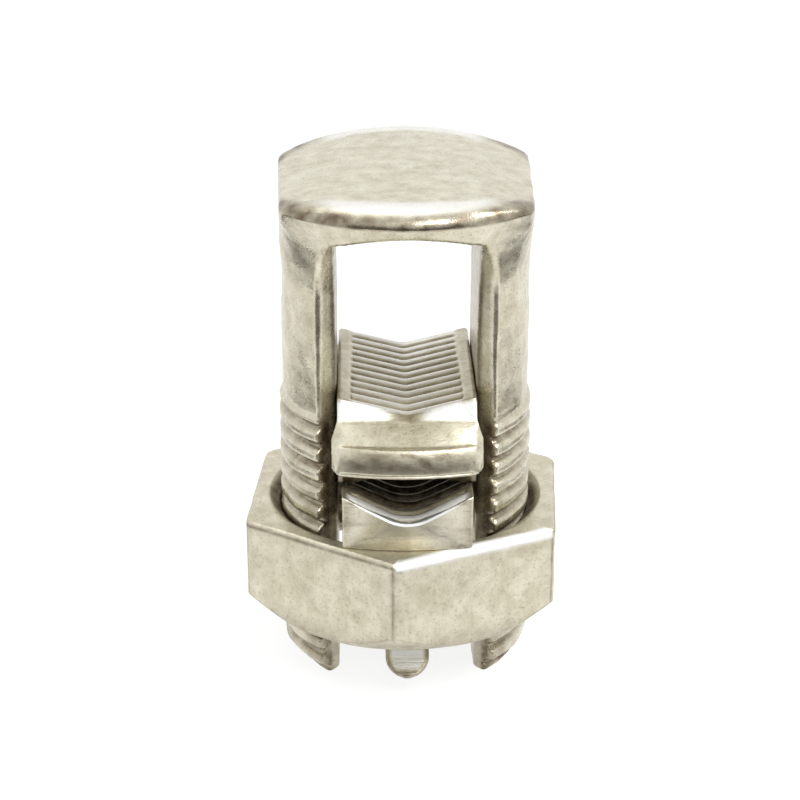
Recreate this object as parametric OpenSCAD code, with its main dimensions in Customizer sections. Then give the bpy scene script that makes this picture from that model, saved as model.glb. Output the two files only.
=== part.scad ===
// Split bolt connector with a spacer: a slotted bolt whose two threaded legs carry
// a hex nut, and between the legs a pressure bar and a spacer that clamp two cables.
// Millimetres. Z is up along the bolt's axis, the cables run along Y, and the slot's
// walls face along X. The origin is on the axis, level with the ends of the legs.

/* [Bolt] */
// Height from the leg ends to the crown of the head
bolt_h = 45.1; // [44:0.1:50]
// Major diameter of the threaded part of the legs
thread_d = 22.2; // [21.8:0.1:23]
// Diameter of the plain part of the legs
shank_d = 21.6; // [20.8:0.1:21.6]
// Height at which the thread ends and the plain part of the legs starts
thread_top = 24.3; // [22:0.1:26]
// Width of the slot between the legs
slot_w = 12; // [11.9:0.1:13]
// Height of the slot's roof at its crown
roof_z = 42.3; // [40:0.1:42.4]
// Rise of the roof's arch between the slot walls and the crown
roof_rise = 1.4; // [0.5:0.1:2]
// Width of the bevel on the slot-side corners of each leg
bevel = 1.7; // [0.5:0.1:2]
// Chamfer at the free ends of the legs
leg_lead = 1.1; // [0.5:0.1:1.5]

/* [Head] */
// Diameter of the round head before its two sides are trimmed flat
head_d = 27.1; // [25:0.1:29]
// Width of the head between its flat sides
head_w = 21.8; // [21.7:0.1:22.2]
// Rise of the domed top between the flat sides and the crown
crown_rise = 1.3; // [0.5:0.1:2]
// Depth and height of the rolled top edge
roll = 1.6; // [1:0.1:1.8]
// Height at which the legs start to flare out into the head
flare_z = 35.5; // [34:0.1:37]
// Radius of the concave flare
flare_r = 12; // [10:0.5:14]

/* [Nut] */
// Width across the flats of the hex
nut_af = 27; // [26.5:0.1:30]
// Thickness of the nut
nut_h = 9.2; // [8:0.1:10]
// Height of the nut's lower face above the leg ends
nut_z = 5.6; // [5.6:0.1:6]
// Turn of the hex about the axis
nut_turn = -4.4; // [-30:0.1:30]
// Radial play between the legs and the nut's bore
bore_play = 0.05; // [0.02:0.01:0.1]
// Radius of the bore's countersunk mouths
mouth_r = 12.2; // [11.6:0.1:12.3]
// Bevel along the top edges of the hex
nut_bevel = 0.45; // [0.2:0.05:0.8]

/* [Pressure bar] */
// Width of the bar across the slot
bar_w = 11.1; // [10.5:0.1:11.6]
// Length of the bar along the cables
bar_l = 25.6; // [25:0.1:26.6]
// Height of the bar at its two sides
bar_h = 4.6; // [4.4:0.1:5]
// Thickness of the bar under the bottom of its groove
bar_web = 2.5; // [2.2:0.1:2.8]
// Half-width of the level strip along the bottom of the bar's groove
bar_strip = 1; // [0.5:0.1:1.5]
// Slope of the bar's groove from level
bar_slope = 26; // [24:1:28]
// Width of the two tongues that hold the nut
tongue_w = 3.8; // [3:0.1:5]

/* [Spacer] */
// Play between the spacer and each slot wall
spacer_play = 0.1; // [0.05:0.05:0.3]
// Width of the flanges that hook in front of the legs
flange_w = 12.8; // [12.4:0.1:13.4]
// Length of the spacer along the cables
spacer_l = 24.9; // [24:0.1:25.4]
// Length of the grooved body between the flanges
seat_l = 18; // [17.6:0.1:18.4]
// Thickness of the spacer under the bottom of its upper groove
spacer_web = 6.3; // [5.8:0.1:6.6]
// Slope of the upper groove from level
spacer_slope = 14; // [11:1:16]
// Height of the flanges' lower edges above the spacer's underside
flange_lift = 1.8; // [1:0.1:2]

/* [Teeth] */
// Distance from one tooth to the next
tooth_pitch = 1.5; // [1.5:0.1:2]
// Width of the gaps between the teeth
gap_w = 0.6; // [0.4:0.1:0.9]
// Depth of the gaps between the teeth
tooth_h = 0.35; // [0.2:0.05:0.45]

/* [Hidden] */
$fn = 96;
past = 1;                                   // how far a cutter runs past a face
thread_r = thread_d / 2;
shank_r = shank_d / 2;
slot_half = slot_w / 2;
head_r = head_d / 2;
crown_r = (pow(head_w / 2, 2) + pow(crown_rise, 2)) / (2 * crown_rise);
roof_r = (pow(slot_half, 2) + pow(roof_rise, 2)) / (2 * roof_rise);
rim_z = bolt_h - roll;                      // lower end of the rolled edge
flare_end = 32;                             // angle at which the flare meets the rim
bevel_top = flare_z + 3;                    // the legs' bevels run out here
nut_top = nut_z + nut_h;
bar_z = nut_top;                            // the bar stands on the nut
bar_top = bar_z + bar_h;
end_bow_r = 20;                             // plan radius of the bar's and flanges' ends
spacer_z = bar_top;                         // the spacer lies on the bar's side rims
spacer_w = slot_w - 2 * spacer_play;
spacer_strip = 0.4;
seat_z = spacer_z + spacer_web;             // bottom of the spacer's upper groove
under_slope = 12;                           // slope of the groove on the spacer's underside
flange_z = spacer_z + flange_lift;
flange_top = seat_z - 0.4;
flange_fall = 1.7;                          // drop of the flange's top to its rolled edge
flange_roll = 1;
bar_rim = 0.35;                             // width of the bar's level side rims
spacer_rim = 1.4;                           // width of the toothless strips on the spacer

// Points of a circular arc about c, from angle a to angle b
function arc(c, r, a, b, n = 12) =
    [for (i = [0:n]) c + r * [cos(a + (b - a) * i / n), sin(a + (b - a) * i / n)]];

// Solid turned about the axis: half-section of the legs, the flare and the rolled head
module turned_blank() {
    flare_c = [shank_r + flare_r, flare_z];
    rotate_extrude()
        polygon(concat(
            [[0, 0], [thread_r - leg_lead, 0], [thread_r, 1.5 * leg_lead],
             [thread_r, thread_top], [shank_r, thread_top + thread_r - shank_r]],
            arc(flare_c, flare_r, 180, 180 - flare_end),
            [[head_r, rim_z]],
            arc([head_r - roll, rim_z], roll, 0, 90),
            [[0, bolt_h]]));
}

// Everything inside the head's two flat sides and under its domed top
module head_limits() {
    translate([-thread_r - past, -head_r - past, -past])
        cube([2 * (thread_r + past), 2 * (head_r + past), flare_z + past]);
    intersection() {
        translate([-head_w / 2, -head_r - past, flare_z - past])
            cube([head_w, 2 * (head_r + past), bolt_h]);
        translate([0, head_r + past, bolt_h - crown_r])
            rotate([90, 0, 0])
                cylinder(r = crown_r, h = 2 * (head_r + past), $fn = 240);
    }
}

// Slot with an arched roof, open at the leg ends
module slot() {
    spring_z = roof_z - roof_rise;
    translate([-slot_half, -head_r - past, -past])
        cube([slot_w, 2 * (head_r + past), spring_z + past]);
    intersection() {
        translate([-slot_half, -head_r - past, spring_z - past])
            cube([slot_w, 2 * (head_r + past), roof_rise + past]);
        translate([0, head_r + past, roof_z - roof_r])
            rotate([90, 0, 0])
                cylinder(r = roof_r, h = 2 * (head_r + past), $fn = 240);
    }
}

// Wedge that bevels the slot-side corner of the +X leg's -Y face and runs out under the head
module corner_bevel() {
    out_x = slot_half + bevel;
    edge_y = sqrt(pow(thread_r, 2) - pow(out_x, 2));
    reach = 2 * bevel;
    translate([out_x, -edge_y, 0])
        rotate([0, 0, -135])
            rotate([90, 0, 0])
                linear_extrude(8 * bevel, center = true)
                    polygon([[0, -past], [0, bevel_top], [reach, bevel_top + reach / 2],
                             [reach, -past]]);
}

module split_bolt() {
    color("#cfc9b4")
        difference() {
            intersection() {
                turned_blank();
                head_limits();
            }
            slot();
            for (mx = [0, 1], my = [0, 1])
                mirror([mx, 0, 0])
                    mirror([0, my, 0])
                        corner_bevel();
        }
}

// Slab between two opposite flats of the nut, bevelled along its top edges
module flat_pair() {
    half = nut_af / 2;
    rotate([90, 0, 0])
        linear_extrude(2 * nut_af, center = true)
            polygon([[-half, 0], [half, 0], [half, nut_h - nut_bevel],
                     [half - nut_bevel, nut_h], [nut_bevel - half, nut_h],
                     [-half, nut_h - nut_bevel]]);
}

module nut() {
    corner_r = nut_af / sqrt(3);
    bore_r = thread_r + bore_play;
    foot_r = nut_af / 2 - 0.2;
    color("#d2cbb6")
        translate([0, 0, nut_z])
            difference() {
                intersection() {
                    rotate([0, 0, nut_turn])
                        flat_pair();
                    rotate([0, 0, nut_turn + 60])
                        flat_pair();
                    rotate([0, 0, nut_turn + 120])
                        flat_pair();
                    rotate_extrude()
                        polygon([[0, 0], [foot_r, 0], [corner_r + past, corner_r + past - foot_r],
                                 [corner_r + past, nut_h + past], [0, nut_h + past]]);
                }
                translate([0, 0, -past])
                    cylinder(r = bore_r, h = nut_h + 2 * past);
                translate([0, 0, nut_h - (mouth_r - bore_r)])
                    cylinder(r1 = bore_r, r2 = mouth_r + past, h = mouth_r - bore_r + past);
                translate([0, 0, -past])
                    cylinder(r1 = mouth_r - 0.3 + past, r2 = bore_r, h = mouth_r - 0.3 - bore_r + past);
            }
}

// Cutter for a V groove along Y, whose level bottom strip lies at z = 0
module groove(len, strip, slope, half) {
    top = (half - strip) * tan(slope);
    rotate([90, 0, 0])
        linear_extrude(len, center = true)
            polygon([[-strip, 0], [strip, 0], [half, top], [half, top + 3 * past],
                     [-half, top + 3 * past], [-half, top]]);
}

// Gaps between a row of teeth along Y: slices of the same groove, cut deeper and narrower
module tooth_gaps(count, strip, slope, half) {
    for (i = [0:count - 1])
        translate([0, (i - (count - 1) / 2) * tooth_pitch, -tooth_h])
            groove(gap_w, strip, slope, half);
}

// Plan outline with bowed ends, drawn as a solid from z0 to z1
module bowed_plan(len, w, z0, z1) {
    intersection() {
        translate([-w / 2, -len / 2, z0])
            cube([w, len, z1 - z0]);
        translate([0, end_bow_r - len / 2, z0])
            cylinder(r = end_bow_r, h = z1 - z0, $fn = 200);
        translate([0, len / 2 - end_bow_r, z0])
            cylinder(r = end_bow_r, h = z1 - z0, $fn = 200);
    }
}

// Tongue at the -Y end: straight through the nut's bore, then swaged outwards under it
module tongue() {
    tip_z = 2;
    out_y = 10.5;
    in_y = 9.3;
    swage = 1.7;
    r = tongue_w / 2;
    intersection() {
        rotate([90, 0, 90])
            linear_extrude(2 * tongue_w, center = true)
                polygon([[-in_y, bar_z + past], [-out_y, bar_z + past], [-out_y, tip_z + 2.6],
                         [-out_y - swage, tip_z + 0.7], [0.3 - out_y - swage, tip_z - 0.1],
                         [-in_y, tip_z + 1.8]]);
        rotate([90, 0, 0])
            linear_extrude(nut_af)
                polygon(concat([[r, bar_z + 2 * past], [-r, bar_z + 2 * past]],
                               arc([0, tip_z + r], r, 180, 360, 16)));
    }
}

module pressure_bar() {
    half = bar_w / 2 - bar_rim;
    count = floor(bar_l / tooth_pitch) - 2;
    color("#d6cfbb")
        difference() {
            union() {
                bowed_plan(bar_l, bar_w, bar_z, bar_top);
                for (my = [0, 1])
                    mirror([0, my, 0])
                        tongue();
            }
            translate([0, 0, bar_z + bar_web]) {
                groove(bar_l + 2 * past, bar_strip, bar_slope, half);
                tooth_gaps(count, bar_strip, bar_slope, half - bar_rim);
            }
        }
}

// Side view of both flanges: sloping top, rolled edge and upright face
module flange_profile() {
    end_y = spacer_l / 2;
    root_y = seat_l / 2 + 0.4;
    edge_z = flange_top - flange_fall;
    rotate([90, 0, 90])
        linear_extrude(flange_w, center = true)
            polygon(concat(
                [[0, flange_z], [end_y, flange_z]],
                arc([end_y - flange_roll, edge_z - flange_roll], flange_roll, 0, 60, 8),
                [[root_y, flange_top], [0, flange_top]]));
}

// Front view of the flanges: a bar with rounded corners
module flange_front() {
    r = 0.9;
    x = flange_w / 2 - r;
    for (z = [flange_z + r, flange_top - r], s = [-1, 1])
        translate([s * x, spacer_l / 2, z])
            rotate([90, 0, 0])
                cylinder(r = r, h = spacer_l);
    translate([-x, -spacer_l / 2, flange_z])
        cube([2 * x, spacer_l, flange_top - flange_z]);
    translate([-flange_w / 2, -spacer_l / 2, flange_z + r])
        cube([flange_w, spacer_l, flange_top - flange_z - 2 * r]);
}

module flanges() {
    difference() {
        intersection() {
            union() {
                flange_profile();
                mirror([0, 1, 0])
                    flange_profile();
            }
            flange_front();
            bowed_plan(spacer_l, flange_w, flange_z, flange_top);
        }
        for (s = [-1, 1])
            translate([s * (spacer_w + flange_w) / 2, 0, spacer_z])
                cube([flange_w, seat_l, 4 * spacer_web], center = true);
    }
}

// Grooved body between the flanges, its ends sloping down to them
module seat() {
    top_z = seat_z + 2;
    rotate([90, 0, 90])
        linear_extrude(spacer_w, center = true)
            polygon([[-seat_l / 2, spacer_z], [seat_l / 2, spacer_z],
                     [seat_l / 2 + 0.2, flange_top - 0.2], [seat_l / 2 - 0.4, top_z],
                     [0.4 - seat_l / 2, top_z], [-seat_l / 2 - 0.2, flange_top - 0.2]]);
}

module spacer() {
    count = floor(seat_l / tooth_pitch);
    half = spacer_w / 2;
    color("#cdc6b0")
        difference() {
            union() {
                seat();
                flanges();
            }
            translate([0, 0, seat_z])
                groove(seat_l + 2 * past, spacer_strip, spacer_slope, half + past);
            translate([0, 0, seat_z])
                tooth_gaps(count, spacer_strip, spacer_slope, half - spacer_rim);
            translate([0, 0, spacer_z + (half - spacer_rim) * tan(under_slope)])
                mirror([0, 0, 1])
                    groove(spacer_l, spacer_strip, under_slope, half - spacer_rim / 2);
        }
}

split_bolt();
spacer();
pressure_bar();
nut();
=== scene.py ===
import bpy
import math
import numpy as np
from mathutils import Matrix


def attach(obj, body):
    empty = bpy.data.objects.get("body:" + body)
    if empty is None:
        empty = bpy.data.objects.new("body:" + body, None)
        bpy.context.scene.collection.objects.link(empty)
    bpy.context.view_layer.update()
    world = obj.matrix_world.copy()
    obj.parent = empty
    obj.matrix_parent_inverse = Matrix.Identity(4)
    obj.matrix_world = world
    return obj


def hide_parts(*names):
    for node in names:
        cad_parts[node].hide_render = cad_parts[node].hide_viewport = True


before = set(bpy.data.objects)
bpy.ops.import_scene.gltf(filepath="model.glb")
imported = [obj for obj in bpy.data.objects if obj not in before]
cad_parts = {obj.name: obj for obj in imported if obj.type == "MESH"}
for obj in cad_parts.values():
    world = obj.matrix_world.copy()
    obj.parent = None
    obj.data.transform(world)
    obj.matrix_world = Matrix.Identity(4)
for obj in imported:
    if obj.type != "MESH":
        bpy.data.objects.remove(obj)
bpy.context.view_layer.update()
mm = 0.001

# ---------------------------------------------------------------- values a user would change

bolt = {
    "height": 45.1,             # leg ends to crown
    "threadRadius": 11.1,
    "shankRadius": 10.78,
    "threadTop": 24.6,          # where the thread fades out
    "slotHalf": 6.0,
    "roofCrown": 42.3,
    "roofRise": 1.4,
    "bevelOut": 7.7,            # outer edge of the legs' bevels, measured from the slot's centre
    "bevelTop": 36.0,           # where the bevels start to fade out
    "legLead": 1.1,
    "headRadius": 13.55,
    "headHalf": 10.78,          # half width at mid length
    "headTaper": 0.038,         # growth of that half width towards the back
    "crownRise": 1.3,
    "roll": 1.65,
    "rollDepth": 2.1,           # how far in from the rim the roll starts, at mid length
    "rollLean": -0.06,          # change of that depth towards the back
    "flareStart": 35.5,
    "flareRadius": 12.0,
    "flareAngle": 32,
}
thread = {
    "pitch": 1.814,
    "depth": 0.74,
    "turnOffset": 0.35,         # start of the helix, in turns
}
nut = {
    "acrossFlats": 27.0,
    "height": 9.2,
    "base": 5.6,
    "turn": -4.4,               # degrees, as in the CAD model
    "mouth": 12.2,
    "bevel": 0.36,
    "wornBevel": 0.72,          # the wider bevel of the face beside the front corner
    "play": 0.14,
}
bar = {
    "width": 11.1,
    "length": 25.6,
    "base": 14.8,
    "height": 4.6,
    "web": 2.5,
    "slope": 26,
    "rim": 0.35,
    "valleyRadius": 4.0,
    "bowRadius": 20.0,
}
spacer = {
    "width": 11.8,
    "flangeWidth": 12.8,
    "length": 24.9,
    "seatLength": 18.0,
    "base": 19.4,
    "web": 6.3,
    "slope": 14,
    "valleyRadius": 1.5,
    "rim": 1.1,
    "footRim": 1.1,
    "flangeLift": 1.8,
    "flangeFall": 1.85,
    "bowRadius": 20.0,
}
teeth = {"pitch": 1.5, "depth": 0.38}


def smoothMax(a, b, k):
    # larger of two values, with the corner between them rounded over a width k
    h = np.clip(0.5 + 0.5 * (a - b) / k, 0, 1)
    return b + (a - b) * h + k * h * (1 - h)


def smoothStep(edge0, edge1, x):
    # cubic ease from 0 at edge0 to 1 at edge1
    t = np.clip((x - edge0) / (edge1 - edge0), 0, 1)
    return t * t * (3 - 2 * t)


def threadWave(z, theta):
    # helical ridge height from 0 in the root to 1 on the crest, one ridge per pitch
    phase = z / thread["pitch"] - theta / (2 * math.pi) + thread["turnOffset"]
    tri = 1 - 2 * np.abs(phase - np.floor(phase) - 0.5)
    return smoothStep(0.02, 0.66, tri)


def wobble(p, size, seed):
    # soft pseudo-random field from a sum of turned sine waves, about -1 to 1
    rng = np.random.default_rng(seed)
    total = np.zeros(p.shape[:-1])
    for _ in range(9):
        direction = rng.normal(size=3)
        direction /= np.linalg.norm(direction)
        total += np.sin(p @ direction * (2 * math.pi / size) * rng.uniform(0.6, 1.7) + rng.uniform(0, 6.3))
    return total / 3.2


def boltRadius(z):
    # half-section of the forging: thread, shank, concave flare, then the rim below the roll
    b = bolt
    lead = np.clip(b["threadRadius"] - b["legLead"] + z / 1.5, 0, b["threadRadius"])
    low = np.where(z < b["threadTop"], lead, b["shankRadius"])
    blend = smoothStep(b["threadTop"] - 0.2, b["threadTop"] + 0.6, z)
    low = lead * (1 - blend) + b["shankRadius"] * blend
    a = np.clip((z - b["flareStart"]) / b["flareRadius"], 0, math.sin(math.radians(b["flareAngle"])))
    flare = b["flareRadius"] * (1 - np.sqrt(1 - a * a))
    endZ = b["flareStart"] + b["flareRadius"] * math.sin(math.radians(b["flareAngle"]))
    endR = b["shankRadius"] + b["flareRadius"] * (1 - math.cos(math.radians(b["flareAngle"])))
    rimZ = b["height"] - b["roll"]
    rise = np.clip((z - endZ) / (rimZ - endZ), 0, 1)
    return np.where(z < b["flareStart"], low,
                    np.where(z < endZ, b["shankRadius"] + flare, endR + (b["headRadius"] - endR) * rise))


def boltField(p):
    # signed field of the forging, negative inside: turned blank, trimmed sides, domed top,
    # level leg ends, arched slot and bevelled slot corners, all met with rounded edges
    b = bolt
    x, y, z = p[..., 0], p[..., 1], p[..., 2]
    rho = np.hypot(x, y)
    theta = np.arctan2(y, x)
    rimZ = b["height"] - b["roll"]
    fade = smoothStep(b["threadTop"] + 0.9, b["threadTop"] - 1.2, z)
    groove = thread["depth"] * (1 - threadWave(z, theta)) * fade
    round1 = rho - (boltRadius(z) - groove)
    rollDepth = b["rollDepth"] + b["rollLean"] * np.clip(y, -13, 13)
    across = np.maximum(rho - b["headRadius"] + rollDepth, 0) / rollDepth
    rollField = (np.hypot(across, np.maximum(z - rimZ, 0) / b["roll"]) - 1) * b["roll"]
    turned = np.where(z > rimZ, rollField, round1)
    flat = np.abs(x) - b["headHalf"] - b["headTaper"] * y - np.where(z < b["flareStart"] - 2, 5.0, 0.0)
    crownR = (b["headHalf"] ** 2 + b["crownRise"] ** 2) / (2 * b["crownRise"])
    dome = z - (b["height"] - crownR + np.sqrt(np.maximum(crownR ** 2 - x * x, 0)))
    roofR = (b["slotHalf"] ** 2 + b["roofRise"] ** 2) / (2 * b["roofRise"])
    roof = b["roofCrown"] - roofR + np.sqrt(np.maximum(roofR ** 2 - x * x, 1e-6))
    slot = -smoothMax(-(b["slotHalf"] - np.abs(x)), -(roof - z), 0.35)
    edgeY = math.sqrt(b["threadRadius"] ** 2 - b["bevelOut"] ** 2)
    bevel = ((b["bevelOut"] - np.abs(x)) + (np.abs(y) - edgeY)) / math.sqrt(2)
    above = np.maximum(z - b["bevelTop"], 0)
    bevel = bevel - 0.1 * above - 0.09 * above ** 2 - 12 * np.maximum(z - b["roofCrown"] + 1.3, 0) ** 2
    field = smoothMax(turned, bevel, 0.3 + 0.35 * smoothStep(b["threadTop"], b["bevelTop"], z))
    field = smoothMax(field, slot, 0.4)
    field = smoothMax(field, flat, 0.45)
    field = smoothMax(field, dome, 0.4)
    return smoothMax(field, -z, 0.2)


def cast(field, centre, direction, reach, steps=30):
    # distance along each ray to where the field turns positive, by halving the interval
    low = np.zeros(reach.shape)
    high = reach.copy()
    for _ in range(steps):
        mid = (low + high) / 2
        outside = field(centre + direction * mid[..., None]) > 0
        high = np.where(outside, mid, high)
        low = np.where(outside, low, mid)
    return (low + high) / 2


def shell(name, points, capStart=True, capEnd=True, attributes=None, closedPath=False):
    # rings of points joined into quads, with a fan at each open end; faces turned outwards
    rings, around = points.shape[:2]
    verts = points.reshape(-1, 3)
    i, j = np.meshgrid(np.arange(rings if closedPath else rings - 1), np.arange(around), indexing="ij")
    nextI = (i + 1) % rings
    nextJ = (j + 1) % around
    quads = np.stack([i * around + j, nextI * around + j, nextI * around + nextJ, i * around + nextJ], -1)
    faces = quads.reshape(-1, 4).tolist()
    values = {k: v.reshape(-1) for k, v in (attributes or {}).items()}
    for flag, ring in ((capStart, 0), (capEnd, rings - 1)):
        if flag and not closedPath:
            centre = points[ring].mean(0)
            hub = len(verts)
            verts = np.vstack([verts, centre])
            values = {k: np.append(v, v[ring * around:(ring + 1) * around].mean()) for k, v in values.items()}
            base = ring * around
            for j0 in range(around):
                pair = (base + j0, base + (j0 + 1) % around)
                faces.append([pair[0], pair[1], hub] if ring == 0 else [pair[1], pair[0], hub])
    mesh = bpy.data.meshes.new(name)
    tri = np.array([f[:3] for f in faces])
    quad = np.array([[f[0], f[2], f[3]] for f in faces if len(f) == 4])
    volume = sum(np.einsum("ij,ij->", verts[t[:, 0]], np.cross(verts[t[:, 1]], verts[t[:, 2]]))
                 for t in (tri, quad))
    if volume < 0:
        faces = [f[::-1] for f in faces]
    mesh.from_pydata((verts * mm).tolist(), [], faces)
    for key, value in values.items():
        attribute = mesh.attributes.new(key, "FLOAT", "POINT")
        attribute.data.foreach_set("value", value.astype(np.float32))
    mesh.shade_smooth()
    obj = bpy.data.objects.new(name, mesh)
    bpy.context.scene.collection.objects.link(obj)
    return obj


def spread(*pieces):
    # one list of values from (start, end, count) pieces, without repeated ends
    parts = [np.linspace(a, b, n, endpoint=False) for a, b, n in pieces]
    return np.concatenate(parts + [[pieces[-1][1]]])


def polylinePoints(corners, counts):
    # points along a closed polyline, count per side
    out = []
    for k, n in enumerate(counts):
        a, b = corners[k], corners[(k + 1) % len(corners)]
        t = np.linspace(0, 1, n, endpoint=False)[:, None]
        out.append(a + (b - a) * t)
    return np.concatenate(out)


def makeBolt():
    # rings around a U-shaped spine: level sections up one leg, turning sections round the
    # slot's corner, upright sections across the head, then down the other leg
    b = bolt
    legX = 8.4
    headZ = 43.9
    pivot = np.array([b["slotHalf"] - 0.2, b["roofCrown"] - b["roofRise"] - 1.0])
    zs = spread((0.0, 0.3, 3), (0.3, 2.0, 9), (2.0, b["threadTop"] + 1.5, 124),
                (b["threadTop"] + 1.5, 34, 16), (34, pivot[1], 14))
    legCentre = np.stack([np.full(zs.shape, legX), zs], -1)
    legOut = np.tile([1.0, 0.0], (len(zs), 1))
    turn = np.radians(spread((3, 38, 14), (38, 62, 26), (62, 87, 12)))
    out = np.stack([np.cos(turn), np.sin(turn)], -1)
    share = smoothStep(0, math.pi / 2, turn)
    depth = (legX - pivot[0]) * (1 - share) + (headZ - pivot[1]) * share + 0.9 * np.sin(2 * turn) ** 2
    turnCentre = pivot + out * depth[:, None]
    xs = spread((pivot[0], 0.0, 22))
    headCentre = np.stack([xs, np.full(xs.shape, headZ)], -1)
    headOut = np.tile([0.0, 1.0], (len(xs), 1))
    centre = np.concatenate([legCentre, turnCentre, headCentre[:-1]])
    outward = np.concatenate([legOut, out, headOut[:-1]])
    half = len(centre)
    mirrored = np.array([-1.0, 1.0])
    middle = np.array([[0.0, headZ]])
    centre = np.concatenate([centre, middle, centre[::-1] * mirrored])
    outward = np.concatenate([outward, [[0.0, 1.0]], outward[::-1] * mirrored])
    # ring directions: towards a reference section that widens from the legs to the head
    sideCounts = [30, 9, 16, 14, 10, 10, 14, 16, 9]
    legCorners = np.array([[-2.3, 6.2], [-2.3, -6.2], [-0.7, -8.0], [1.2, -5.6], [2.5, -2.6],
                           [2.7, 0.0], [2.5, 2.6], [1.2, 5.6], [-0.7, 8.0]])
    headCorners = np.array([[-1.5, 12.6], [-1.5, -12.6], [-0.6, -13.4], [0.7, -12.9], [1.3, -8.0],
                            [1.3, 0.0], [1.3, 8.0], [0.7, 12.9], [-0.6, 13.4]])
    legRef = polylinePoints(legCorners, sideCounts)
    headRef = polylinePoints(headCorners, sideCounts)
    mix = np.concatenate([np.zeros(len(zs)), smoothStep(0, 1, (turn - turn[0]) / (turn[-1] - turn[0])),
                          np.ones(half - len(zs) - len(turn))])
    mix = np.concatenate([mix, [1.0], mix[::-1]])[:, None, None]
    ref = legRef * (1 - mix) + headRef * mix
    along = np.zeros((len(centre), 3))
    along[:, 0], along[:, 2] = outward[:, 0], outward[:, 1]
    direction = along[:, None, :] * ref[..., :1] + np.array([0.0, 1.0, 0.0]) * ref[..., 1:]
    direction /= np.linalg.norm(direction, axis=-1, keepdims=True)
    start = np.zeros((len(centre), 1, 3))
    start[:, 0, 0], start[:, 0, 2] = centre[:, 0], centre[:, 1]
    start[:, 0, 2] = np.maximum(start[:, 0, 2], 0.02)
    inward = -(direction * along[:, None, :]).sum(-1)
    reach = np.where(inward > 0.05, np.minimum(22.0, 7.4 / np.maximum(inward, 0.05)), 22.0)
    distance = cast(boltField, start, direction, reach)
    points = start + direction * distance[..., None]
    x, y, z = points[..., 0], points[..., 1], points[..., 2]
    rho = np.maximum(np.hypot(x, y), 1e-3)
    normalish = np.stack([x / rho, y / rho, np.zeros(x.shape)], -1)
    dents = 0.035 * wobble(points, 5.0, 3) + 0.02 * wobble(points, 1.8, 4)
    points = points + normalish * dents[..., None] * smoothStep(6.2, 7.5, rho)[..., None]
    # painted shade: darker in the thread grooves, on the slot's walls and on the inner sides of the legs low
    # down
    depthIn = np.clip((bolt["threadRadius"] - rho) / thread["depth"], 0, 1)
    inThread = smoothStep(bolt["threadTop"] + 1, bolt["threadTop"] - 1, z) * smoothStep(9.2, 9.8, rho)
    paintedShade = depthIn * inThread
    rimZ = b["height"] - b["roll"]
    # painted dark reflection: a speckled band on the lower part of the head's roll
    darkReflectionBand = smoothStep(rimZ - 0.25, rimZ, z) * smoothStep(rimZ + 1.25, rimZ + 0.7, z)
    darkReflectionBand = darkReflectionBand * smoothStep(11.6, 12.5, rho)
    paintedShade = np.maximum(paintedShade, darkReflectionBand * (0.8 + 0.3 * wobble(points, 2.2, 12)))
    paintedShade = np.maximum(paintedShade, 0.5 * smoothStep(6.4, 6.05, np.abs(x)) * (z < 41))
    paintedShade = np.maximum(paintedShade, 0.55 * smoothStep(20.5, 15.0, z) * smoothStep(9.4, 8.4, np.abs(x)))
    paintedShade = np.clip(paintedShade, 0, 1)
    # painted highlight along the upper part of the head's roll, front and back
    paintedHighlight = 0.75 * smoothStep(rimZ + 0.95, rimZ + 1.3, z) * smoothStep(10.7, 11.5, rho)
    paintedHighlight = paintedHighlight * smoothStep(9.5, 7.5, np.abs(x))
    return shell("bolt_forging", points, attributes={"paintedShade": paintedShade, "paintedHighlight": paintedHighlight})


def nutRadius(theta):
    # distance from the axis to the hex at each angle, with slightly rounded corners
    a = np.mod(theta - math.radians(nut["turn"]) - math.radians(30), math.radians(60)) - math.radians(30)
    sharp = nut["acrossFlats"] / 2 / np.cos(a)
    soft = nut["acrossFlats"] / math.sqrt(3) - 0.16
    return -smoothMax(-sharp, -np.full(sharp.shape, soft), 0.25)


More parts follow.
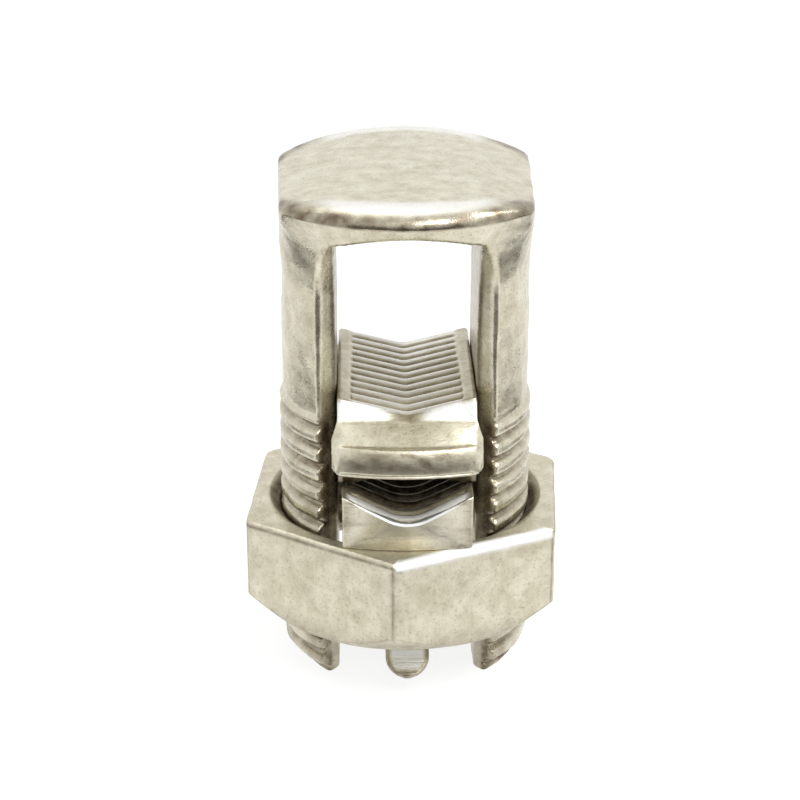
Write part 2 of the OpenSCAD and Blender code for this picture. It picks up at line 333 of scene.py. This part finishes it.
def makeNut():
    # half-sections from the bore's top mouth over the top, down the side, round the foot and
    # back up the threaded bore, carried round the axis
    n = nut
    corner = np.radians(n["turn"] + 30 + 60 * np.arange(6))
    nearCorner, farFromIt = np.linspace(-2.2, 2.2, 9), np.linspace(3, 30, 13)
    offsets = np.radians(np.concatenate([-farFromIt[::-1], nearCorner, farFromIt[:-1]]))
    theta = (corner[:, None] + offsets[None, :]).reshape(-1)
    hexR = nutRadius(theta)
    top = n["base"] + n["height"]
    foot = n["acrossFlats"] / 2 - 0.2
    major = bolt["threadRadius"] + n["play"]
    bottomMouth = n["mouth"] - 0.3
    # the face beside the front corner has a wider bevel and carries a painted highlight
    fromGlintFace = np.abs(np.mod(np.degrees(theta) - n["turn"] + 60 + 180, 360) - 180)
    paintedGlint = smoothStep(30.5, 29.0, fromGlintFace)
    bevel = n["bevel"] + (n["wornBevel"] - n["bevel"]) * paintedGlint
    rows = []

    def row(r, z):
        # one ring of points at a radius and a height
        rows.append(np.stack([r * np.cos(theta), r * np.sin(theta), np.broadcast_to(z, r.shape)], -1))

    one = np.ones(theta.shape)
    for t in np.linspace(0, 1, 7):
        row(one * n["mouth"] * (1 - t) + (hexR - bevel - 0.05) * t, top)
    for t in np.linspace(0, 1, 7):
        bulge = 0.12 * math.sin(math.pi * t)
        row(hexR - bevel * (1 - t - bulge), top - bevel * (t - bulge))
    low = n["base"] + np.maximum(hexR - foot, 0)
    for t in np.concatenate([np.linspace(0.03, 0.97, 14), [0.99]]):
        row(hexR, (top - bevel) * (1 - t) + low * t)
    for t in np.linspace(0.03, 0.97, 9):
        row(hexR * (1 - t) + foot * t, low * (1 - t) + n["base"] * t)
    for t in np.linspace(0.02, 1, 6):
        row(one * (foot * (1 - t) + bottomMouth * t), n["base"])
    boreZ = np.linspace(n["base"] + bottomMouth - major, top - (n["mouth"] - major), 70)
    for t in np.linspace(0.15, 0.85, 3):
        row(one * (bottomMouth * (1 - t) + major * t), n["base"] * (1 - t) + boreZ[0] * t)
    for z in boreZ:
        edge = smoothStep(boreZ[0], boreZ[0] + 0.5, z) * smoothStep(boreZ[-1], boreZ[-1] - 0.5, z)
        row(major - thread["depth"] * (1 - threadWave(z, theta)) * edge, z)
    for t in np.linspace(0.15, 0.92, 4):
        row(one * (major * (1 - t) + n["mouth"] * t), boreZ[-1] * (1 - t) + top * t)
    points = np.stack(rows)
    rho = np.hypot(points[..., 0], points[..., 1])
    outer = smoothStep(11.9, 12.6, rho)
    normalish = points / rho[..., None] * np.array([1.0, 1.0, 0.0])
    points = points + normalish * (0.03 * wobble(points, 4.0, 8) * outer)[..., None]
    # painted shade: dark bore, a thin line beside each corner, the top edge except on the highlighted face,
    # the chamfer's lower edge, and darker towards the foot
    fromCorner = np.degrees(np.mod(theta[None, :] - corner[0] + math.pi / 6, math.pi / 3) - math.pi / 6)
    side = smoothStep(12.6, 12.9, rho)
    z = points[..., 2]
    onFace = (z < top - 0.4) * (z > low.min() + 1.5)
    line = 0.75 * np.exp(-((fromCorner + 0.5) / 0.5) ** 2) * onFace
    edgeLine = 0.85 * np.exp(-((z - top + 0.34) / 0.14) ** 2) * (1 - paintedGlint)[None, :]
    coneLine = 0.5 * np.exp(-((z - low[None, :]) / 0.12) ** 2)
    edgeLine = np.maximum(edgeLine, coneLine)
    # painted highlight on the wide bevel of the face beside the front corner
    paintedHighlight = smoothStep(top - n["wornBevel"] - 0.1, top - n["wornBevel"] + 0.1, z) * paintedGlint[None, :]
    paintedHighlight = paintedHighlight * smoothStep(hexR - bevel - 0.35, hexR - bevel, rho)
    footShade = 0.35 * smoothStep(n["base"] + 2.2, n["base"] + 0.4, z)
    sideShade = side * np.maximum(np.maximum(line, edgeLine), footShade)
    paintedShade = np.clip(np.maximum(smoothStep(12.3, 11.6, rho), sideShade), 0, 1)
    return shell("hex_nut", points, closedPath=True, attributes={"paintedShade": paintedShade, "paintedHighlight": paintedHighlight})


def vHeight(x, slope, valleyRadius):
    # height of a V groove above its bottom line, with a round valley
    s = math.tan(math.radians(slope))
    k = valleyRadius * math.sin(math.radians(slope))
    ax = np.abs(x)
    return np.where(ax < k, valleyRadius - np.sqrt(np.maximum(valleyRadius ** 2 - ax ** 2, 0)),
                    valleyRadius * (1 - math.cos(math.radians(slope))) + (ax - k) * s)


def toothWave(y):
    # rounded ridges along Y: 1 on a crest, 0 in a gap; a gap lies at y = 0
    phase = y / teeth["pitch"]
    tri = 2 * np.abs(phase - np.round(phase))
    return np.sin(np.clip(tri, 0, 1) * math.pi / 2) ** 1.2


def sectionShell(name, ys, topFn, bottomFn, halfFn, bowFn, counts, attributes, edge=0.12):
    # upright sections across the slot, carried along Y: top from -X to +X, then the underside back
    nTop, nSide, nBottom = counts
    u = np.linspace(-1, 1, nTop)
    u = np.sign(u) * (1 - (1 - np.abs(u)) ** 1.15)
    w = halfFn(ys)[:, None]
    yy = ys[:, None]
    xTop = u[None, :] * w
    zTop = topFn(xTop, np.broadcast_to(yy, xTop.shape))
    ub = np.linspace(1, -1, nBottom)
    xBot = ub[None, :] * w
    zBot = bottomFn(xBot, np.broadcast_to(yy, xBot.shape))
    t = np.linspace(0, 1, nSide + 2)[1:-1][None, :]
    xR = np.broadcast_to(w, (len(ys), nSide)) + 0 * t
    zR = zTop[:, -1:] * (1 - t) + zBot[:, :1] * t
    xL = -xR
    zL = zBot[:, -1:] * (1 - t) + zTop[:, :1] * t
    x = np.concatenate([xTop, xR, xBot, xL], 1)
    z = np.concatenate([zTop, zR, zBot, zL], 1)
    y = np.broadcast_to(yy, x.shape) - np.sign(yy) * bowFn(x, np.abs(yy))
    points = np.stack([x, y, z], -1)
    return shell(name, points, attributes={k: f(points) for k, f in attributes.items()})


def makeBar():
    # block with upright sections along Y, and the two tongues forged on it
    b = bar
    halfLength = b["length"] / 2
    top = b["base"] + b["height"]
    valley = b["base"] + b["web"]
    inner = b["width"] / 2 - b["rim"]

    def topFn(x, y):
        # V groove less its tooth gaps, cut off at the block's top and rounded at the ends
        v = valley + vHeight(x, b["slope"], b["valleyRadius"])
        inside = smoothStep(inner + 0.05, inner - 0.25, np.abs(x))
        reach = smoothStep(halfLength - 0.1, halfLength - 0.4, np.abs(y))
        v = v - teeth["depth"] * (1 - toothWave(y)) * inside * reach
        z = np.minimum(v, top)
        ends = np.clip((np.abs(y) - (halfLength - 0.25)) / 0.25, 0, 1)
        return z - 0.25 * (1 - np.sqrt(1 - np.clip(ends, 0, 0.999) ** 2))

    def bottomFn(x, y):
        # height of the underside, rounded at the ends
        ends = np.clip((np.abs(y) - (halfLength - 0.15)) / 0.15, 0, 1)
        return b["base"] + 0.15 * (1 - np.sqrt(1 - np.clip(ends, 0, 0.999) ** 2)) + 0 * x

    def halfFn(y):
        # half width, drawn in round the ends
        ends = np.clip((np.abs(y) - (halfLength - 0.2)) / 0.2, 0, 1)
        return b["width"] / 2 - 0.2 * (1 - np.sqrt(1 - np.clip(ends, 0, 0.999) ** 2))

    def bowFn(x, ay):
        # how far the bowed end stands back at each x
        return x * x / (2 * b["bowRadius"]) * smoothStep(halfLength - 5, halfLength - 0.5, ay)

    edgeY = halfLength - 0.25 + 0.25 * np.sin(np.radians(np.linspace(0, 88, 8)))
    ys = np.concatenate([-edgeY[::-1], spread((-(halfLength - 0.3), halfLength - 0.3, 232)), edgeY])

    def paintedShade(p):
        # painted shade: tooth gaps, the groove's middle under the spacer, and low on the end faces, 0 to 1
        x, y, z = p[..., 0], p[..., 1], p[..., 2]
        under = smoothStep(10.3, 9.3, np.abs(y)) * smoothStep(b["base"] + 1.5, b["base"] + 2.2, z)
        inGroove = smoothStep(b["base"] + 1.8, b["base"] + 2.2, z) * smoothStep(inner, inner - 0.4, np.abs(x))
        gap = (1 - toothWave(y)) * inGroove
        face = 0.42 * smoothStep(-0.3, 0.9, wobble(p * [0.5, 1, 2.2], 2.2, 31))
        face = face * smoothStep(11.5, 12.0, np.abs(y))
        face = face * smoothStep(b["base"] + 3.4, b["base"] + 2.2, z)
        return np.clip(0.8 * gap + under + face, 0, 1)

    def paintedHighlight(p):
        # painted highlight on the crests of the end ridges, 0 to 1
        x, y, z = p[..., 0], p[..., 1], p[..., 2]
        crest = smoothStep(0.35, 0.8, toothWave(y)) * smoothStep(10.0, 10.7, np.abs(y))
        crest = crest * smoothStep(inner + 0.2, inner - 0.2, np.abs(x))
        return crest * smoothStep(b["base"] + 1.9, b["base"] + 2.3, z)

    body = sectionShell("pressure_bar_block", ys, topFn, bottomFn, halfFn, bowFn, (66, 14, 24),
                        {"paintedShade": paintedShade, "paintedHighlight": paintedHighlight})
    return [body, makeTongue(-1), makeTongue(1)]


def makeTongue(side):
    # flat strip with a round end, carried down a path that bends outwards under the nut
    halfWidth = 1.9
    path = np.array([[9.9, 15.6], [9.9, 10.0], [9.9, 5.2], [10.05, 4.2],
                     [10.6, 3.4], [11.4, 2.75], [12.1, 2.25]])
    t = np.linspace(0, 1, 60)
    length = np.concatenate([[0], np.cumsum(np.hypot(*np.diff(path, axis=0).T))])
    s = t * length[-1]
    py = np.interp(s, length, path[:, 0])
    pz = np.interp(s, length, path[:, 1])
    for _ in range(6):
        py[1:-1] = (py[:-2] + 2 * py[1:-1] + py[2:]) / 4
        pz[1:-1] = (pz[:-2] + 2 * pz[1:-1] + pz[2:]) / 4
    tangent = np.stack([np.gradient(py), np.gradient(pz)], -1)
    tangent /= np.linalg.norm(tangent, axis=1, keepdims=True)
    normal = np.stack([-tangent[:, 1], tangent[:, 0]], -1)
    left = length[-1] - s
    roundEnd = np.sqrt(np.maximum(halfWidth ** 2 - (halfWidth - left) ** 2, 0.0))
    w = np.where(left < halfWidth, roundEnd, halfWidth)
    w = np.maximum(w, 0.25)
    thick = 0.55 - 0.27 * smoothStep(4.5, 0.5, left)
    flatU = np.linspace(-0.86, 0.86, 19)
    arc = np.radians(np.linspace(75, -75, 7))
    u = np.concatenate([flatU, 0.86 + 0.14 * np.cos(arc), flatU[::-1], -0.86 - 0.14 * np.cos(arc)])
    v = np.concatenate([np.ones(19), np.sin(arc), -np.ones(19), -np.sin(arc)])
    x = w[:, None] * u[None, :]
    y = py[:, None] + normal[:, :1] * thick[:, None] * v[None, :]
    z = pz[:, None] + normal[:, 1:] * thick[:, None] * v[None, :]
    points = np.stack([x, side * y, z], -1)
    # painted shadow on the stem under the nut, painted shade along the rim and the round end
    stem = smoothStep(3.6, 5.4, pz)[:, None] * 0.8
    paintedShade = np.maximum(stem, smoothStep(0.74, 0.9, np.abs(u))[None, :] * 0.9)
    paintedShade = np.maximum(paintedShade, smoothStep(0.55, 0.3, left)[:, None] * 0.9)
    # painted highlight on the bent-out face
    paintedHighlight = smoothStep(4.4, 3.6, pz)[:, None] * smoothStep(0.78, 0.66, np.abs(u))[None, :]
    paintedHighlight = paintedHighlight * smoothStep(0.45, 0.8, left)[:, None]
    name = "bar_tongue_front" if side < 0 else "bar_tongue_back"
    return shell(name, points, attributes={"paintedShade": paintedShade, "paintedHighlight": paintedHighlight})


def makeSpacer():
    # block with a serrated V seat on top and a sloping, rolled flange at each end
    s = spacer
    halfLength = s["length"] / 2
    seatHalf = s["seatLength"] / 2
    seatZ = s["base"] + s["web"]
    flangeTop = seatZ - 0.4
    lineY = seatHalf + 0.3
    flangeBottom = s["base"] + s["flangeLift"]
    inner = s["width"] / 2 - s["rim"]
    rollR = 0.6

    def flangeLine(ay):
        # height of the flange's top: sloping down, then rolled over its outer edge
        start = halfLength - rollR
        line = flangeTop - s["flangeFall"] * np.clip((ay - lineY) / (start - lineY), 0, 1)
        t = np.clip((ay - start) / rollR, 0, 0.9995)
        return line + 0.16 * smoothStep(start - 0.5, start, ay) - 0.7 * t - 1.35 * (1 - np.sqrt(1 - t * t))

    def topFn(x, y):
        # serrated V seat that falls to the flange's line, with softened sides
        ay = np.abs(y)
        v = seatZ + vHeight(x, s["slope"], s["valleyRadius"])
        ribs = smoothStep(inner + 0.06, inner - 0.12, np.abs(x)) * smoothStep(lineY - 0.55, lineY - 0.85, ay)
        v = v - teeth["depth"] * (1 - toothWave(y)) * ribs
        drop = np.clip((ay - lineY + 0.8) / 0.8, 0, 1)
        line = flangeLine(ay)
        z = v + (np.minimum(v, line) - v) * drop
        flangeSide = smoothStep(s["flangeWidth"] / 2 - 1.0, s["flangeWidth"] / 2, np.abs(x))
        flangeSide = flangeSide * smoothStep(seatHalf, seatHalf + 1, ay)
        soft = smoothStep(s["width"] / 2 - 0.35, s["width"] / 2, np.abs(x)) * (1 - drop)
        return z - 0.55 * flangeSide ** 2 - 0.22 * soft ** 2

    def bottomFn(x, y):
        # height of the underside, rounded at the ends
        ay = np.abs(y)
        inside = np.maximum(s["width"] / 2 - s["footRim"] - np.abs(x), 0)
        under = s["base"] + inside * math.tan(math.radians(12))
        flange = flangeBottom + 0 * x
        mixIn = smoothStep(seatHalf - 0.1, seatHalf + 0.1, ay)
        corner = smoothStep(s["flangeWidth"] / 2 - 0.9, s["flangeWidth"] / 2, np.abs(x)) ** 2 * 0.5
        ends = np.clip((ay - (halfLength - 0.3)) / 0.3, 0, 0.999)
        return under * (1 - mixIn) + (flange + corner + 0.3 * (1 - np.sqrt(1 - ends ** 2))) * mixIn

    def halfFn(y):
        # half width, drawn in round the ends
        ay = np.abs(y)
        wider = (s["flangeWidth"] - s["width"]) / 2
        wide = s["width"] / 2 + wider * smoothStep(seatHalf + 0.1, seatHalf + 1.4, ay)
        t = np.clip((ay - (halfLength - 0.9)) / 0.9, 0, 0.999)
        return wide - 0.45 * (1 - np.sqrt(1 - t * t))

    def bowFn(x, ay):
        # how far the bowed end stands back at each x
        return x * x / (2 * s["bowRadius"]) * smoothStep(seatHalf + 0.2, halfLength - 0.4, ay)

    edgeY = halfLength - rollR + rollR * np.sin(np.radians(np.linspace(0, 88, 18)))
    plainEnd = halfLength - rollR - 0.08
    ys = np.concatenate([-edgeY[::-1], spread((-plainEnd, plainEnd, 250)), edgeY])

    def paintedShade(p):
        # painted shade: tooth gaps and hidden places, plus a painted dark reflection across the flange's
        # roll, 0 to 1
        x, y, z = p[..., 0], p[..., 1], p[..., 2]
        inSeat = smoothStep(seatHalf, seatHalf - 0.4, np.abs(y)) * smoothStep(inner, inner - 0.2, np.abs(x))
        gap = (1 - toothWave(y)) * inSeat
        low = smoothStep(seatZ - 1.0, seatZ - 3.0, z) * smoothStep(seatHalf + 1, seatHalf, np.abs(y))
        strip = smoothStep(inner, inner + 0.3, np.abs(x)) * smoothStep(seatHalf, seatHalf - 0.5, np.abs(y))
        # painted dark reflection: a speckled band across the flange's roll, strongest left of centre
        roll = smoothStep(11.5, 11.8, np.abs(y)) * smoothStep(21.7, 22.3, z) * smoothStep(23.6, 23.3, z)
        roll = roll * (0.62 + 0.3 * wobble(p, 1.6, 21)) * smoothStep(6.2, 3.2, np.abs(x + 1))
        return np.clip(0.65 * gap * (z > seatZ - 1) + low + 0.35 * strip + roll, 0, 1)

    def paintedHighlight(p):
        # painted highlight on the rib crests and the flange's facets, 0 to 1
        x, y, z = p[..., 0], p[..., 1], p[..., 2]
        ay = np.abs(y)
        onTop = smoothStep(seatZ - 0.9, seatZ - 0.5, z)
        crest = smoothStep(0.4, 0.85, toothWave(y)) * smoothStep(inner, inner - 0.3, np.abs(x))
        crest = crest * smoothStep(lineY - 0.5, lineY - 0.8, ay)
        facet = smoothStep(lineY - 0.8, lineY - 0.6, ay) * smoothStep(lineY + 0.02, lineY - 0.08, ay)
        facet = facet * smoothStep(0.8, 2.2, np.abs(x))
        return np.clip(onTop * (0.85 * crest + facet), 0, 1)

    return sectionShell("spacer_block", ys, topFn, bottomFn, halfFn, bowFn, (74, 22, 30),
                        {"paintedShade": paintedShade, "paintedHighlight": paintedHighlight})


# ---------------------------------------------------------------- materials

def nodeOf(tree, kind, **inputs):
    # a shader node with its input values set by name
    node = tree.nodes.new(kind)
    for key, value in inputs.items():
        node.inputs[key].default_value = value
    return node


def tinPlate(name, finish):
    # warm satin tin plate: cloudy colour, fine speckle, brushing along one direction,
    # brown painted shade and painted dark reflections where the shade attribute says, painted highlights
    # where the highlight attribute says, pits, and a bump from all of them
    material = bpy.data.materials.new(name)
    material.use_nodes = True
    tree = material.node_tree
    links = tree.links
    shader = tree.nodes["Principled BSDF"]
    coords = tree.nodes.new("ShaderNodeTexCoord")
    brushMap = tree.nodes.new("ShaderNodeMapping")
    brushMap.inputs["Scale"].default_value = finish["brushScale"]
    links.new(coords.outputs["Object"], brushMap.inputs["Vector"])
    brush = nodeOf(tree, "ShaderNodeTexNoise", Scale=1000.0, Detail=4.0, Roughness=0.62)
    links.new(brushMap.outputs["Vector"], brush.inputs["Vector"])
    speck = nodeOf(tree, "ShaderNodeTexNoise", Scale=3300.0, Detail=3.0, Roughness=0.7)
    links.new(coords.outputs["Object"], speck.inputs["Vector"])
    cloud = nodeOf(tree, "ShaderNodeTexNoise", Scale=650.0, Detail=5.0, Roughness=0.55)
    links.new(coords.outputs["Object"], cloud.inputs["Vector"])
    cloudRamp = tree.nodes.new("ShaderNodeValToRGB")
    cloudRamp.color_ramp.elements[0].position = 0.32
    cloudRamp.color_ramp.elements[0].color = (*finish["dull"], 1)
    cloudRamp.color_ramp.elements[1].position = 0.66
    cloudRamp.color_ramp.elements[1].color = (*finish["bright"], 1)
    links.new(cloud.outputs["Fac"], cloudRamp.inputs["Fac"])
    speckRamp = tree.nodes.new("ShaderNodeValToRGB")
    speckRamp.color_ramp.elements[0].position = 0.27
    speckRamp.color_ramp.elements[0].color = (*finish["speck"], 1)
    speckRamp.color_ramp.elements[1].position = 0.47
    speckRamp.color_ramp.elements[1].color = (1, 1, 1, 1)
    links.new(speck.outputs["Fac"], speckRamp.inputs["Fac"])
    tint = tree.nodes.new("ShaderNodeMix")
    tint.data_type = "RGBA"
    tint.blend_type = "MULTIPLY"
    tint.inputs["Factor"].default_value = finish["speckAmount"]
    links.new(cloudRamp.outputs["Color"], tint.inputs[6])
    links.new(speckRamp.outputs["Color"], tint.inputs[7])
    # painted shade and painted dark reflections: the shade attribute, broken up by noise, mixes in the dark
    # brown
    paintedShade = tree.nodes.new("ShaderNodeAttribute")
    paintedShade.attribute_name = "paintedShade"
    shadeNoise = nodeOf(tree, "ShaderNodeTexNoise", Scale=900.0, Detail=3.0)
    links.new(coords.outputs["Object"], shadeNoise.inputs["Vector"])
    shadeNoiseRange = nodeOf(tree, "ShaderNodeMapRange")
    shadeNoiseRange.inputs["From Min"].default_value = 0.35
    shadeNoiseRange.inputs["From Max"].default_value = 0.62
    shadeNoiseRange.inputs["To Min"].default_value = 0.55
    links.new(shadeNoise.outputs["Fac"], shadeNoiseRange.inputs["Value"])
    shadeMix = tree.nodes.new("ShaderNodeMath")
    shadeMix.operation = "MULTIPLY"
    links.new(paintedShade.outputs["Fac"], shadeMix.inputs[0])
    links.new(shadeNoiseRange.outputs["Result"], shadeMix.inputs[1])
    shadeStrength = tree.nodes.new("ShaderNodeMath")
    shadeStrength.operation = "MULTIPLY"
    shadeStrength.inputs[1].default_value = finish["shadeAmount"]
    links.new(shadeMix.outputs[0], shadeStrength.inputs[0])
    shaded = tree.nodes.new("ShaderNodeMix")
    shaded.data_type = "RGBA"
    shaded.inputs[7].default_value = (*finish["shadeColor"], 1)
    links.new(shadeStrength.outputs[0], shaded.inputs["Factor"])
    links.new(tint.outputs[2], shaded.inputs[6])
    # painted highlight: the highlight attribute mixes in near-white and lowers the metallic value
    paintedHighlight = tree.nodes.new("ShaderNodeAttribute")
    paintedHighlight.attribute_name = "paintedHighlight"
    paintedGlint = tree.nodes.new("ShaderNodeMix")
    paintedGlint.data_type = "RGBA"
    paintedGlint.inputs[7].default_value = (*finish["paintedGlint"], 1)
    links.new(paintedHighlight.outputs["Fac"], paintedGlint.inputs["Factor"])
    links.new(shaded.outputs[2], paintedGlint.inputs[6])
    links.new(paintedGlint.outputs[2], shader.inputs["Base Color"])
    metal = nodeOf(tree, "ShaderNodeMapRange")
    metal.inputs["To Min"].default_value = finish["metallic"]
    metal.inputs["To Max"].default_value = 0.45
    links.new(paintedHighlight.outputs["Fac"], metal.inputs["Value"])
    links.new(metal.outputs["Result"], shader.inputs["Metallic"])
    rough = nodeOf(tree, "ShaderNodeMapRange")
    rough.inputs["From Min"].default_value = 0.3
    rough.inputs["From Max"].default_value = 0.7
    rough.inputs["To Min"].default_value = finish["roughness"][0]
    rough.inputs["To Max"].default_value = finish["roughness"][1]
    links.new(brush.outputs["Fac"], rough.inputs["Value"])
    links.new(rough.outputs["Result"], shader.inputs["Roughness"])
    bumpOne = nodeOf(tree, "ShaderNodeBump", Strength=finish["brushBump"], Distance=0.00004)
    links.new(brush.outputs["Fac"], bumpOne.inputs["Height"])
    bumpTwo = nodeOf(tree, "ShaderNodeBump", Strength=finish["speckBump"], Distance=0.00006)
    links.new(speck.outputs["Fac"], bumpTwo.inputs["Height"])
    links.new(bumpOne.outputs["Normal"], bumpTwo.inputs["Normal"])
    links.new(bumpTwo.outputs["Normal"], shader.inputs["Normal"])
    return material


plainTin = {
    "metallic": 0.9,
    "dull": (0.58, 0.535, 0.405),
    "bright": (0.76, 0.725, 0.585),
    "speck": (0.42, 0.36, 0.27),
    "speckAmount": 0.5,
    # dark brown of the painted shade and painted dark reflections
    "shadeColor": (0.125, 0.085, 0.048),
    "shadeAmount": 0.92,
    # near-white of the painted highlights
    "paintedGlint": (0.96, 0.955, 0.93),
    "roughness": (0.26, 0.42),
    "brushScale": (1.0, 1.0, 1.0),
    "brushBump": 0.35,
    "speckBump": 0.45,
}
boltTin = dict(plainTin, roughness=(0.22, 0.36))
nutTin = dict(plainTin, brushScale=(4.2, 4.2, 0.3), brushBump=0.75, roughness=(0.32, 0.5))
barTin = dict(plainTin, brushScale=(0.3, 4.2, 4.2), brushBump=0.75)
spacerTin = dict(plainTin, brushScale=(1.5, 0.4, 1.5))


def dress(obj, material, body):
    # material, moving body and material slot of one piece
    obj.data.materials.append(material)
    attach(obj, body)
    return obj


print("stage: bolt")
boltObj = dress(makeBolt(), tinPlate("boltTin", boltTin), "split_bolt")
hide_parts("split_bolt")
print("stage: nut")
nutObj = dress(makeNut(), tinPlate("nutTin", nutTin), "nut")
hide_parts("nut")
print("stage: bar")
barMaterial = tinPlate("barTin", barTin)
for piece in makeBar():
    dress(piece, barMaterial, "pressure_bar")
    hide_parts("pressure_bar")
print("stage: spacer")
spacerObj = dress(makeSpacer(), tinPlate("spacerTin", spacerTin), "spacer")
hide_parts("spacer")


# ---------------------------------------------------------------- studio

studio = {
    "aim": (-0.44, 0.0, 23.4),      # millimetres
    "distance": 186.6,
    "bearing": -1.05,               # degrees from straight ahead, towards +X
    "elevation": 22.35,
    "lens": 94.7,
    "paperGlow": 0.86,
    "flagColor": (0.05, 0.042, 0.032),
    "worldLight": 0.5,
}
flags = {                           # bearing, half angle in degrees; near, far edge, rise in millimetres
    "frontFlag": (0, 40, 52, 600, 130),
    "leftFlag": (-100, 27, 48, 74, 0.4),
    "rightFlag": (100, 27, 48, 74, 0.4),
}
lamps = {                           # place and size in millimetres, then watts
    "keyLamp": ((70, -150, 190), 70, 0.16),
    "sideLamp": ((150, -30, 200), 60, 0.12),
    "topLamp": ((-60, 60, 260), 200, 0.12),
}


def makeCamera():
    # camera on a sphere about its aim point
    s = studio
    data = bpy.data.cameras.new("studioCamera")
    data.lens = s["lens"]
    data.sensor_width = 36
    data.clip_start = 0.001
    cameraObj = bpy.data.objects.new("studioCamera", data)
    bearing, elevation = math.radians(s["bearing"]), math.radians(s["elevation"])
    aim = np.array(s["aim"]) * mm
    away = np.array([math.sin(bearing) * math.cos(elevation), -math.cos(bearing) * math.cos(elevation),
                     math.sin(elevation)])
    cameraObj.location = aim + away * s["distance"] * mm
    cameraObj.rotation_euler = (math.radians(90) - elevation, 0, bearing)
    bpy.context.scene.collection.objects.link(cameraObj)
    bpy.context.scene.camera = cameraObj


def backdropShader(tree, output, lit, seenSurface):
    # white for the rays that look or mirror, the lit surface for the rest
    path = tree.nodes.new("ShaderNodeLightPath")
    seen = tree.nodes.new("ShaderNodeMath")
    seen.operation = "MAXIMUM"
    tree.links.new(path.outputs["Is Camera Ray"], seen.inputs[0])
    tree.links.new(path.outputs["Is Glossy Ray"], seen.inputs[1])
    seenAny = tree.nodes.new("ShaderNodeMath")
    seenAny.operation = "MAXIMUM"
    tree.links.new(seen.outputs[0], seenAny.inputs[0])
    tree.links.new(path.outputs["Is Transmission Ray"], seenAny.inputs[1])
    mix = tree.nodes.new("ShaderNodeMixShader")
    tree.links.new(seenAny.outputs[0], mix.inputs["Fac"])
    tree.links.new(lit, mix.inputs[1])
    tree.links.new(seenSurface, mix.inputs[2])
    tree.links.new(mix.outputs[0], output.inputs["Surface"])


def sheetMesh(name, inner, outer, height):
    # flat ring or disc in metres, as quads between two circles
    count = 96
    a = np.linspace(0, 2 * math.pi, count, endpoint=False)
    circle = np.stack([np.cos(a), np.sin(a), 0 * a], -1)
    verts = np.concatenate([circle * outer, circle * inner]) + np.array([0, 0, height])
    j = np.arange(count)
    k = (j + 1) % count
    mesh = bpy.data.meshes.new(name)
    mesh.from_pydata(verts.tolist(), [], np.stack([j, k, k + count, j + count], -1).tolist())
    obj = bpy.data.objects.new(name, mesh)
    bpy.context.scene.collection.objects.link(obj)
    return obj


def makeFloor():
    # round paper sheet that looks white and keeps the object's soft shadow
    floor = sheetMesh("floorSheet", 0.0005, 0.6, -0.00002)
    material = bpy.data.materials.new("paper")
    material.use_nodes = True
    tree = material.node_tree
    tree.nodes.clear()
    output = tree.nodes.new("ShaderNodeOutputMaterial")
    diffuse = nodeOf(tree, "ShaderNodeBsdfDiffuse", Color=(0.86, 0.86, 0.85, 1))
    faint = nodeOf(tree, "ShaderNodeBsdfDiffuse", Color=(0.30, 0.30, 0.30, 1))
    glow = nodeOf(tree, "ShaderNodeEmission", Color=(1, 1, 1, 1), Strength=studio["paperGlow"])
    paper = tree.nodes.new("ShaderNodeAddShader")
    tree.links.new(faint.outputs[0], paper.inputs[0])
    tree.links.new(glow.outputs[0], paper.inputs[1])
    backdropShader(tree, output, diffuse.outputs[0], paper.outputs[0])
    floor.data.materials.append(material)


def makeFlag(name, bearing, halfAngle, near, far, rise):
    # dark card that only mirrors see: a sector of a shallow bowl round the object
    count = 24
    a = np.radians(bearing - 90 + np.linspace(-halfAngle, halfAngle, count))
    circle = np.stack([np.cos(a), np.sin(a), 0 * a], -1)
    verts = np.concatenate([circle * far + [0, 0, rise], circle * near + [0, 0, 0.4]]) * mm
    j = np.arange(count - 1)
    mesh = bpy.data.meshes.new(name)
    mesh.from_pydata(verts.tolist(), [], np.stack([j, j + 1, j + 1 + count, j + count], -1).tolist())
    flag = bpy.data.objects.new(name, mesh)
    bpy.context.scene.collection.objects.link(flag)
    flag.visible_camera = False
    flag.visible_diffuse = False
    flag.visible_shadow = False
    flag.visible_transmission = False
    material = bpy.data.materials.new(name)
    material.use_nodes = True
    shader = material.node_tree.nodes["Principled BSDF"]
    shader.inputs["Base Color"].default_value = (*studio["flagColor"], 1)
    shader.inputs["Roughness"].default_value = 0.9
    mesh.materials.append(material)


def makeWorld():
    # even studio surround, white where it is seen or mirrored
    world = bpy.data.worlds.new("studioWorld")
    bpy.context.scene.world = world
    world.use_nodes = True
    tree = world.node_tree
    tree.nodes.clear()
    output = tree.nodes.new("ShaderNodeOutputWorld")
    light = nodeOf(tree, "ShaderNodeBackground", Color=(1, 1, 1, 1), Strength=studio["worldLight"])
    white = nodeOf(tree, "ShaderNodeBackground", Color=(1, 1, 1, 1), Strength=1.0)
    backdropShader(tree, output, light.outputs[0], white.outputs[0])


def makeLamp(name, place, size, watts):
    # square area lamp at a place in millimetres, turned to the middle of the object
    data = bpy.data.lights.new(name, "AREA")
    data.size = size * mm
    data.energy = watts
    lamp = bpy.data.objects.new(name, data)
    lamp.location = np.array(place) * mm
    away = np.array(place) - np.array([0, 0, 22.0])
    lamp.rotation_euler = (math.atan2(math.hypot(away[0], away[1]), away[2]), 0,
                           math.atan2(away[0], -away[1]))
    bpy.context.scene.collection.objects.link(lamp)


print("stage: studio")
makeCamera()
makeFloor()
makeWorld()
for flagName, flagValues in flags.items():
    makeFlag(flagName, *flagValues)
for lampName, lampValues in lamps.items():
    makeLamp(lampName, *lampValues)
bpy.context.scene.view_settings.view_transform = "Standard"
